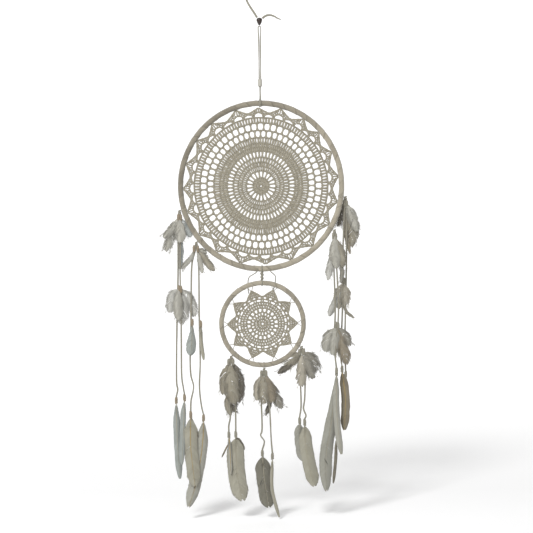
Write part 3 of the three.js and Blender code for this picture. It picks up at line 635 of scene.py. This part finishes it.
def posts(shell, hoop, inner, outer, angles_in, angles_out, size, rng, flare=0.0):
    """Upright stitches between two rounds, each a plied strand. flare widens its ends for round holes."""
    count = len(angles_in)
    start = on_ring(hoop, inner, angles_in)
    stop = on_ring(hoop, outer, angles_out)
    t = np.linspace(0, 1, 9 if flare else 5)
    path = start[:, None] * (1 - t)[:, None] + stop[:, None] * t[:, None]
    side = unit(np.cross(stop - start, FRONT))
    path = path + side[:, None] * (rng.normal(scale=0.12, size=(count, 1)) * np.sin(np.pi * t))[..., None]
    path[..., 1] += rng.normal(scale=0.12, size=(count, 1)) - 0.3 * np.sin(np.pi * t)
    ends = 0.12 + flare * np.abs(2 * t - 1) ** 3
    wide = size * (1 + ends - 0.16 * np.sin(np.pi * t)) * (1 + rng.normal(scale=0.03, size=(count, 1)))
    length = np.linalg.norm(stop - start, axis=-1)[:, None]
    ply = YARN_TWIST * length * t + rng.uniform(0, 6, (count, 1)) + 0.01
    shade = np.clip(rng.normal(0.6, 0.1, (count, 1)) - 0.35 * np.abs(2 * t - 1) ** 3, 0, 1)
    shell.add(oval_rings(path, wide, np.minimum(wide, 1.15) * 0.9, FRONT, 6, 0.0, ply), shade=shade)


def round_of(shell, hoop, inner, outer, count, size, rng, pair=0.0, phase=0.0, flare=0.0):
    """One crochet round: evenly spaced posts, in pairs if pair is the half angle between the two."""
    loose = np.degrees(0.14 / (inner + outer) * 2)
    angle = (np.arange(count) + phase) * 360 / count + rng.normal(scale=loose, size=count)
    for side in ((-pair, pair) if pair else (0,)):
        posts(shell, hoop, inner, outer, angle + side, angle + side, size, rng, flare)


def make_large_doily():
    """Twenty-pointed doily, round by round from the centre."""
    hoop, rng, shell, chains = LARGE, np.random.default_rng(5), Shell(), Shell()
    for inner, outer, count, size, phase, flare in [
        (2.8, 8.6, 15, 1.4, 0, 0), (8.6, 14.2, 24, 1.75, 0, 0), (14.4, 28.2, 20, 1.7, 0.5, 0.8),
        (28.4, 36.4, 56, 1.55, 0, 0), (36.4, 43.8, 56, 2.1, 0.5, 0), (43.8, 53.2, 56, 2.2, 0, 0),
        (53.4, 65.4, 56, 1.95, 0.5, 0.6), (65.4, 72.4, 112, 2.0, 0, 0), (72.4, 79.4, 112, 2.15, 0.5, 0),
        (79.6, 90.8, 112, 2.05, 0, 0), (90.8, 104, 56, 1.75, 0, 1.6), (104, 117.6, 56, 1.75, 0.5, 1.6),
        (117.8, 128.2, 140, 2.05, 0, 0),
    ]:
        round_of(shell, hoop, inner, outer, count, size, rng, 0, phase, flare)
    for radius, loops, size in [
        (2.8, 6, 0.8), (8.6, 14, 0.7), (14.3, 24, 0.9), (28.3, 44, 0.95), (36.4, 56, 0.8), (43.8, 66, 0.85),
        (53.3, 80, 1.05), (65.4, 98, 1.05), (72.4, 104, 0.85), (79.5, 114, 1.0), (90.8, 130, 1.2),
        (104, 140, 1.1), (117.6, 160, 1.25), (128.3, 176, 1.25),
    ]:
        braid(chains, hoop, radius, loops, size, 0.75, rng)
    make_points(shell, rng)
    braids = chains.make("large_crochet_chains", "large_ring", ["yarn"], slot="yarn")
    piece = shell.make("large_crochet", "large_ring", ["yarn"], slot="yarn", replaces=["large_doily"])


def make_points(shell, rng):
    """The large doily's points, with an arch below each and one between it and the next."""
    hoop, inner, arch_top = LARGE, 128.6, 138.0
    rim = hoop["radius"] - hoop["band"] - GAP
    for k, middle in enumerate(LARGE_TIPS):
        before = (middle - LARGE_TIPS[k - 1]) % 360 / 2
        after = (LARGE_TIPS[(k + 1) % len(LARGE_TIPS)] - middle) % 360 / 2
        tip = rim - (3.4 if abs(math.cos(math.radians(middle))) < 0.1 else 0.2)
        for start, stop, peak, full in [(-before / 2, after / 2, arch_top, 0.45),
                                        (after / 2, after * 1.5, 135.4, 0.5)]:
            span = np.linspace(0, 1, 11)
            angle = middle + start + (stop - start) * span
            arch = on_ring(hoop, inner + (peak - inner) * np.sin(np.pi * span) ** full, angle, 0.2)
            yarn_along(shell, arch, 1.8, 1.15, 9, 0.55)
        base = np.linspace(-0.5, 0.5, 7)
        fan = base * 1.5
        room = np.where(base < 0, before, after)
        lift = arch_top - 5.0 * (np.abs(base) / 0.5) ** 3
        top = 138.4 + (tip - 138.4) * (1 - np.abs(fan)) ** 1.4
        posts(shell, hoop, lift, top, middle + base * room, middle + fan * room, 1.35, rng)
        span = np.linspace(0, 1, 9)
        for reach in (-before, after):
            rise = 136.8 + (tip - 136.8) * span ** 1.4
            edge = on_ring(hoop, rise, middle + reach * (1 - 0.98 * span), 0.1)
            yarn_along(shell, edge, 2.0 - 0.4 * span, 1.15, 10, 0.5)
            rise = 134.2 + (tip - 138.6) * span ** 1.2
            inner_edge = on_ring(hoop, rise, middle + reach * (0.72 - 0.6 * span), 0.3)
            yarn_along(shell, inner_edge, 1.3, 1.0, 10, 0.35)


def make_star_doily():
    """Ten-pointed star, laced to the small hoop by one zigzag thread."""
    hoop, rng, shell, chains = SMALL, np.random.default_rng(9), Shell(), Shell()
    for inner, outer, count, size, pair, phase in [
        (2.8, 8.4, 12, 1.4, 0, 0), (8.4, 15.0, 20, 1.6, 0, 0), (15.0, 21.8, 20, 1.9, 0, 0.5),
        (21.8, 30.0, 20, 2.1, 0, 0), (30.0, 35.6, 44, 1.85, 0, 0), (35.6, 41.2, 50, 1.9, 0, 0),
        (41.4, 47.0, 20, 1.5, 2.6, 0), (47.0, 52.6, 30, 1.7, 1.8, 0.5),
    ]:
        round_of(shell, hoop, inner, outer, count, size, rng, pair, phase)
    for radius, loops, size in [
        (3.2, 6, 0.9), (8.4, 14, 0.8), (15, 24, 1.0), (21.9, 34, 1.0), (30, 44, 1.0), (35.6, 50, 0.95),
        (41.3, 60, 1.05), (47, 66, 1.05), (52.4, 74, 1.0),
    ]:
        braid(chains, hoop, radius, loops, size, 0.65, rng)
    tips = [make_star_point(shell, chains, rng, 36 * k) for k in range(10)]
    braids = chains.make("star_crochet_chains", "small_ring", ["yarn"], slot="yarn")
    piece = shell.make("star_crochet", "small_ring", ["yarn"], slot="yarn", replaces=["star_doily"])
    laced = make_star_lacing(tips)


def make_star_point(shell, chains, rng, angle):
    """Three narrowing rows of posts on crossed chains, and a strand up each side. Returns the tip's place."""
    middle = angle + rng.normal(scale=0.8)
    tip = 66.3 + rng.normal(scale=0.4)
    for inner, outer, spread, narrow, count in [(52, 56.6, 14.8, 10.6, 8), (56.6, 61, 10.0, 5.2, 6),
                                                (61, tip, 4.4, 0.5, 3)]:
        base = np.linspace(-spread, spread, count)
        posts(shell, SMALL, inner, outer, middle + base, middle + base * narrow / spread, 1.35, rng)
        span = np.linspace(-1, 1, 5 * count)
        wave = 2 * np.pi * np.arange(len(span)) / PER_STITCH
        for side in (0, np.pi):
            line = on_ring(SMALL, inner + 0.5 * np.cos(wave + side), middle + spread * span,
                           0.6 * np.cos(wave + side + 1.6))
            chains.add(oval_rings(line, 0.75, 0.7, FRONT, 5), shade=0.35)
    foot, half_foot = 51.5, 17.4
    span = np.linspace(0, 1, 7)
    for side in (-1, 1):
        angles = middle + side * half_foot * (1 - span ** 0.9)
        line = on_ring(SMALL, foot + (tip - foot) * span, angles, -0.2)
        yarn_along(shell, line, 1.2, 1.1, 12, 0.6)
    return tip, middle


def make_star_lacing(tips):
    """One zigzag thread from the star's tips, each a radius and an angle, to the small hoop."""
    edge = SMALL["radius"] - SMALL["band"] - 0.4
    lacing = Shell()
    span = np.linspace(0, 1, 8)
    for tip, middle in tips:
        start = tip - 0.6
        for side in (-1, 1):
            line = on_ring(SMALL, start + (edge - start) * span, middle + side * (0.3 + 3.8 * span), 0.3)
            lacing.add(oval_rings(line, 0.6, 0.6, FRONT, 6), shade=0.3)
        over = on_ring(SMALL, tip + np.array([-1.6, -0.4, 0.2, -0.4, -1.6]),
                       middle + np.array([-1.4, -0.9, 0, 0.9, 1.4]), [-0.4, -1.5, -1.7, -1.5, -0.4])
        lacing.add(oval_rings(over, 0.5, 0.5, FRONT, 6), shade=0.6)
    return lacing.make("star_lacing", "small_ring", ["yarn"], slot="yarn", replaces=["star_doily_lacing"])


# ---- feathers and down

def feather(shell, spine, left, right, rng, barbs, fluff, shaft, bare=0.05, cup=1.2, vane=0, quill=1,
            edge=0.0, rise=0.2, tip=0.15):
    """A feather along a spine: two vanes of single barbs that lie like shingles, and a tapered shaft on top.

    fluff loosens the barbs, bare is the share of the shaft without barbs, cup bends the vane's edges back,
    edge darkens them, and rise and tip are the shares over which the vane widens and narrows.
    """
    spine = np.asarray(spine, float)
    at = np.linspace(0, 1, len(spine))
    tangent = unit(np.gradient(spine, axis=0))
    across = unit(np.cross(tangent, FRONT))
    long = length_of(spine)
    pitch = long / barbs
    rounding = np.linspace(0, 0.85, 14)
    barbs += len(rounding)

    def drift(scale, knots=9):
        """A slow wave along the vane, so that neighbouring barbs move together."""
        values = rng.normal(scale=scale, size=knots)
        return np.interp(np.linspace(0, 1, barbs), np.linspace(0, 1, knots), values)

    def pick(values, where):
        """Values along the spine, at these shares of its length."""
        return np.stack([np.interp(where, at, values[:, c]) for c in range(3)], 1)

    for side, width in ((1, left), (-1, right)):
        tip_at = np.linspace(bare + 0.02, 1.0, barbs - len(rounding)) + rng.normal(scale=0.15 / barbs)
        tip_at = np.clip(np.sort(np.append(tip_at, 1.006 - tip * rounding ** 2)), 0, 1)
        clump = np.cumsum(rng.random(barbs) < 0.08)
        slide = rng.normal(scale=0.003, size=clump.max() + 1)[clump]
        widening = np.clip((tip_at - bare * 0.3) / rise, 0, 1) ** 0.85
        full = widening * np.clip((1.006 - tip_at) / tip, 0, 1) ** 0.5
        uneven = 0.025 + 0.1 * fluff
        reach = width * full * (1 + drift(0.03 + 0.14 * fluff, 13) + rng.normal(scale=uneven, size=barbs))
        reach = np.maximum(reach, 0.3)
        lean = 1.35 + 0.25 * fluff
        root_at = np.clip(tip_at - (reach * lean + 1.5) / long, bare * 0.6, 0.985)
        tip_at = np.clip(tip_at + slide, 0, 1.0)
        root, foot_across = pick(spine, root_at), pick(across, root_at) * side
        end = pick(spine, tip_at) + pick(across, tip_at) * side * reach[:, None]
        forward = pick(tangent, root_at)
        span = np.linalg.norm(end - root, axis=1)[:, None]
        bend = root + foot_across * reach[:, None] * (0.62 - 0.1 * fluff) + forward * span * 0.2
        u = np.linspace(0, 1, 6)[None, :, None]
        path = root[:, None] * (1 - u) ** 2 + 2 * bend[:, None] * u * (1 - u) + end[:, None] * u ** 2
        lift = drift(0.5 + 1.6 * fluff)[:, None] + rng.normal(scale=0.07 + 0.35 * fluff, size=(barbs, 1))
        path[..., 1] += cup * u[..., 0] ** 2 * (reach / max(width, 1))[:, None] + lift * u[..., 0] ** 1.5
        if fluff:
            stray = rng.normal(size=(barbs, 1, 3)) * 0.55 * fluff
            stray = stray + drift(1.1 * fluff)[:, None, None] * forward[:, None]
            path = path + stray * u ** 1.8
        thinning = (0.3 + 0.3 * fluff) * min(fluff * 3, 1) * u[..., 0]
        taper = 1 - 0.8 * np.clip((u[..., 0] - 0.8) / 0.2, 0, 1) - thinning
        overlap = 0.95 if fluff < 0.2 else 1.45
        wide = np.maximum(pitch * overlap * np.clip(taper, 0.1, 1), 0.12)
        facing = FRONT + 0.3 * forward[:, None]
        band = rng.normal(scale=0.12, size=clump.max() + 1)[clump]
        band = band + rng.normal(0.6, 0.06, barbs) + drift(0.06)
        shade = np.clip(band[:, None] - edge * u[..., 0] ** 1.6, 0, 1)
        shell.add(oval_rings(path, wide, 0.1 + 0.02 * fluff, facing, 4), vane, shade=shade)
    stem = spine.copy()
    stem[:, 1] -= 0.25
    thin = shaft * np.clip(1 - 0.86 * at, 0.1, 1)
    shell.add(oval_rings(stem, thin, thin * 0.9, FRONT, 8), quill, shade=0.7)


def wisps(shell, spots, rng, long, drift, vane=0, shade=0.5):
    """Loose fine barbs that start at the spots and droop."""
    count = len(spots)
    u = np.linspace(0, 1, 7)[None, :, None]
    aim = np.array(drift) + rng.normal(size=(count, 3)) * [0.25, 0.2, 0.2]
    size = long * rng.uniform(0.5, 1.1, (count, 1, 1))
    path = np.asarray(spots, float)[:, None] + aim[:, None] * size * u
    path = path + rng.normal(size=(count, 1, 3)) * size * 0.18 * u ** 2
    path[..., 2] -= size[..., 0] * 0.2 * u[..., 0] ** 2
    shell.add(oval_rings(path, 0.2 * (1.1 - u[..., 0]) + 0.06, 0.1, FRONT, 3), vane,
              shade=np.clip(shade + rng.uniform(-0.15, 0.15, count), 0, 1))


def make_binding(shell, top, size, slot, rng):
    """Lace wound round a short upright core, with its edges overlapping."""
    turns, radius = size["height"] / 3.4, size["radius"] * 0.84
    bottom = top - size["height"] * UP
    t = np.linspace(0, 1, int(26 * turns))
    turn = 2 * np.pi * turns * t + rng.uniform(0, 6)
    swell = radius * (0.86 + 0.14 * np.sin(np.pi * t) + 0.05 * np.sin(np.pi * turns * t))
    height = size["height"] * (0.08 + 0.84 * t)
    path = bottom + np.stack([swell * np.cos(turn), swell * np.sin(turn), height], 1)
    outward = np.stack([np.cos(turn), np.sin(turn), 0.25 + 0 * t], 1)
    shell.add(oval_rings(path, 1.8, 0.55, outward, 8), slot, shade=0.55)
    ends = np.linspace(-1, 1, 9)
    fat = radius * np.sqrt(np.clip(1 - ends ** 6, 0.12, 1)) * 0.98
    filling(shell, bottom, top, fat, fat, 0.2, 10, slot)


def make_pendant(name, body, top, spec, replaces, seed):
    """A wound binding with its feather, which swing together."""
    rng = np.random.default_rng(seed)
    shell = Shell()
    make_binding(shell, top, BINDING, 2, rng)
    inside = 2.0
    base = top - (BINDING["height"] - inside) * UP
    shaft = [(0, 0)] + [(x, z - inside) for x, z in spec["shaft"]]
    spine = smooth([base + [x, 0, z] for x, z in shaft], 1.6)
    bow = np.linspace(0, 1, len(spine))
    spine[:, 1] += 1.2 * np.sin(np.pi * bow)
    barbs = int(max(60, length_of(spine) * 0.95))
    shaft_size = 0.95 if spec.get("golden") else 0.75
    feather(shell, spine, spec["left"], spec["right"], rng, barbs, 0.0, shaft_size,
            rise=spec.get("rise", 0.2))
    spots = base + np.stack([rng.normal(scale=1.2, size=34), rng.normal(scale=0.8, size=34),
                             -rng.uniform(1, 16, 34)], 1)
    wisps(shell, spots, rng, 8, (0, 0, -0.7))
    if "spur" in spec:
        points, width = spec["spur"]
        small = smooth(base + np.array(points), 1.2)
        feather(shell, small, width, width, rng, int(length_of(small) * 1.2) + 8, 0.1, 0.35, 0.02, 0.5, 3)
    if "nick" in spec:
        cut = smooth(base + np.array(spec["nick"]), 1.5)
        opening = 0.55 * np.sin(np.pi * np.linspace(0.1, 0.9, len(cut)))
        # A dark strip in the slit's place: painted shade, not an opening in the vane.
        shell.add(oval_rings(cut, opening, 0.12, FRONT, 6), 4)
    quill = "quill_golden" if spec.get("golden") else "quill_pale"
    looks = ["vane_" + spec["tone"], quill, spec.get("wound", "wound"), "vane_spur", "painted_slit_shade"]
    shell.make(name, body, looks, slot="feather", replaces=replaces)


def make_tuft(strand, tuft, knot, seed):
    """Small downy feathers whose quills are wound onto the two legs of a cord."""
    rng = np.random.default_rng(seed)
    name = f"{strand['name']}_{tuft['place']}"
    tones = sorted({plume[3] for plume in tuft["plumes"]})
    shell = Shell()
    for x, z in tuft["quills"]:
        make_binding(shell, knot + [x, 0, z], TUFT_BINDING, len(tones), rng)
    for points, width, fluff, tone in tuft["plumes"]:
        spine = smooth(knot + np.array(points), 1.6)
        long = length_of(spine)
        slot = tones.index(tone)
        barbs = int(long * (1.6 + 0.9 * fluff)) + 10
        feather(shell, spine, width, width, rng, barbs, fluff, 0.42, 0.02, 1.5 + 1.5 * fluff, slot, slot,
                0.2 + 0.6 * fluff, rise=0.42, tip=0.22)
        extra = int(30 + 160 * fluff)
        pick = rng.integers(len(spine) // 5, len(spine), extra)
        tangent = unit(np.gradient(spine, axis=0))[pick]
        across = unit(np.cross(tangent, FRONT)) * rng.choice([-1, 1], (extra, 1))
        spots = spine[pick] + across * width * rng.uniform(0.55, 0.92, (extra, 1))
        wisps(shell, spots, rng, 3.5 + 4 * fluff, across * 0.5 + tangent * 0.8, slot, 0.25)
    looks = ["down_" + tone for tone in tones] + [tuft["wound"]]
    shell.make(f"{name}_down", f"{strand['name']}_strand", looks, slot="down",
               replaces=[name] if tuft["in_cad"] else [])


# ---- beads

def make_beads():
    """The dark bead turned from a profile of (radius, height), and the pale tube."""
    widest, bottom = DARK_BEAD["radius"], DARK_BEAD["bottom"]
    profile = [(0.9, 0.1), (2.0, 1.4), (3.6, 4.2), (4.9, 7.4), (widest, 10), (4.9, 12.4), (3.0, 14),
               (1.4, 14.4)]
    points = smooth([(r, 0, z) for r, z in profile], 0.6)
    radius, z = points[:, :1], points[:, 2:] + bottom
    turn = 2 * np.pi * np.arange(40) / 40
    shell = Shell()
    shell.add(np.stack([radius * np.cos(turn), -radius * np.sin(turn), z + 0 * turn], -1))
    shell.make("dark_bead_turned", "hanger", ["dark_wood"], slot="dark_wood", replaces=["dark_bead"])
    r, b, h = TUBE_BEAD["radius"], TUBE_BEAD["bore"], TUBE_BEAD["height"]
    foot = TUBE_BEAD["top"] - h
    outline = [(b, 0.3), (b + 0.3, 0), (r - 0.5, 0), (r - 0.15, 0.15), (r, 0.5), (r + 0.1, h / 2),
               (r, h - 0.5), (r - 0.15, h - 0.15), (r - 0.5, h), (b + 0.3, h), (b, h - 0.3)]
    turn = 2 * np.pi * np.arange(36) / 36
    shell = Shell()
    shell.add([[(p * math.cos(a), p * math.sin(a), foot + z) for p, z in outline] for a in turn], loop=True)
    shell.make("tube_bead_turned", "hoop_tie", ["pale_wood"], slot="pale_wood", replaces=["tube_bead"])


# ---- camera, light, floor

def make_camera():
    """A level camera in front of the object, with a slight roll."""
    scene = bpy.context.scene
    camera = bpy.data.objects.new("camera", bpy.data.cameras.new("camera"))
    scene.collection.objects.link(camera)
    camera.data.lens = CAMERA["lens"]
    camera.data.sensor_width = CAMERA["sensor"]
    roll = CAMERA["roll"]
    right = Vector((math.cos(roll), 0, -math.sin(roll)))
    up = Vector((math.sin(roll), 0, math.cos(roll)))
    turn = Matrix((right, up, -Vector((0, 1, 0)))).transposed().to_4x4()
    camera.matrix_world = Matrix.Translation(CAMERA["place"]) @ turn
    scene.camera = camera


def make_light():
    """A white sky and one soft lamp, high at the front left."""
    scene = bpy.context.scene
    world = bpy.data.worlds.new("studio")
    scene.world = world
    world.use_nodes = True
    set_inputs(world.node_tree.nodes["Background"], Color=(1, 1, 1, 1), Strength=SKY)
    key = bpy.data.objects.new("key", bpy.data.lights.new("key", "AREA"))
    scene.collection.objects.link(key)
    key.data.shape = "DISK"
    key.data.size = KEY_LIGHT["size"]
    key.data.energy = KEY_LIGHT["energy"]
    key.location = KEY_LIGHT["place"]
    aim = Vector(KEY_LIGHT["aim"]) - key.location
    key.rotation_euler = aim.to_track_quat("-Z", "Y").to_euler()
    scene.view_settings.view_transform = "Standard"


def make_paper():
    """Pale paper that glows more towards the back, as the far ground is brighter."""
    pale = bpy.data.materials.new("paper")
    pale.use_nodes = True
    nodes, links = pale.node_tree.nodes, pale.node_tree.links
    shader = nodes["Principled BSDF"]
    set_inputs(shader, Base_Color=(0.9, 0.9, 0.9, 1), Roughness=0.9, Specular_IOR_Level=0.0,
               Emission_Color=(1, 1, 1, 1))
    place = nodes.new("ShaderNodeTexCoord")
    split = nodes.new("ShaderNodeSeparateXYZ")
    glow = nodes.new("ShaderNodeMapRange")
    set_inputs(glow, From_Min=0.3, From_Max=2.6, To_Min=0.03, To_Max=0.36)
    links.new(place.outputs["Object"], split.inputs["Vector"])
    links.new(split.outputs["Y"], glow.inputs["Value"])
    links.new(glow.outputs["Result"], shader.inputs["Emission Strength"])
    return pale


def make_backdrop():
    """A floor that bends up into a wall behind the object."""
    low, back, bend = SWEEP["floor"], SWEEP["back"], SWEEP["bend"]
    quarter = np.linspace(0, math.pi / 2, 17)
    rise = [(back + bend * math.sin(a), low + bend * (1 - math.cos(a))) for a in quarter]
    outline = [(SWEEP["near"], low)] + rise + [(back + bend, SWEEP["top"])]
    points = [(x, y, z) for y, z in outline for x in (-SWEEP["side"], SWEEP["side"])]
    faces = [(2 * k, 2 * k + 1, 2 * k + 3, 2 * k + 2) for k in range(len(outline) - 1)]
    sweep = bpy.data.meshes.new("sweep")
    sweep.from_pydata(points, [], faces)
    sweep.shade_smooth()
    sweep.materials.append(make_paper())
    backdrop = bpy.data.objects.new("sweep", sweep)
    bpy.context.scene.collection.objects.link(backdrop)


def main():
    make_camera()
    make_light()
    make_backdrop()
    make_materials()
    make_loop()
    make_tie()
    make_loop_tails()
    make_hoop_link()
    hung = [(strand, *make_strand_cords(strand, SEEDS["cord"] + 10 * k)) for k, strand in enumerate(STRANDS)]
    make_beads()
    make_hoop("large_hoop", LARGE)
    make_hoop("small_hoop", SMALL)
    make_large_doily()
    make_star_doily()
    for number, (strand, knot, ends) in enumerate(hung):
        name = strand["name"]
        for k, (tail, end) in enumerate(zip(strand["tails"], ends)):
            letter = "ab"[k]
            pendant = f"{name}_pendant_{letter}"
            # A lace ends 1 mm inside its binding, less the gap at the pivot.
            top = end + (1.0 - PIVOT_GAP) * UP
            make_pendant(pendant, pendant, top, tail["feather"],
                         [f"{name}_binding_{letter}", f"{name}_feather_{letter}"],
                         SEEDS["pendant"] + 10 * number + k)
        for k, tuft in enumerate(strand["tufts"]):
            make_tuft(strand, tuft, knot, SEEDS["tuft"] + 10 * number + k)
        for k, extra in enumerate(strand.get("extras", [])):
            top = knot + [extra["x"], extra["depth"], extra["z"]]
            make_pendant(extra["name"], f"{name}_strand", top, extra, [], SEEDS["extra"] + k)


main()
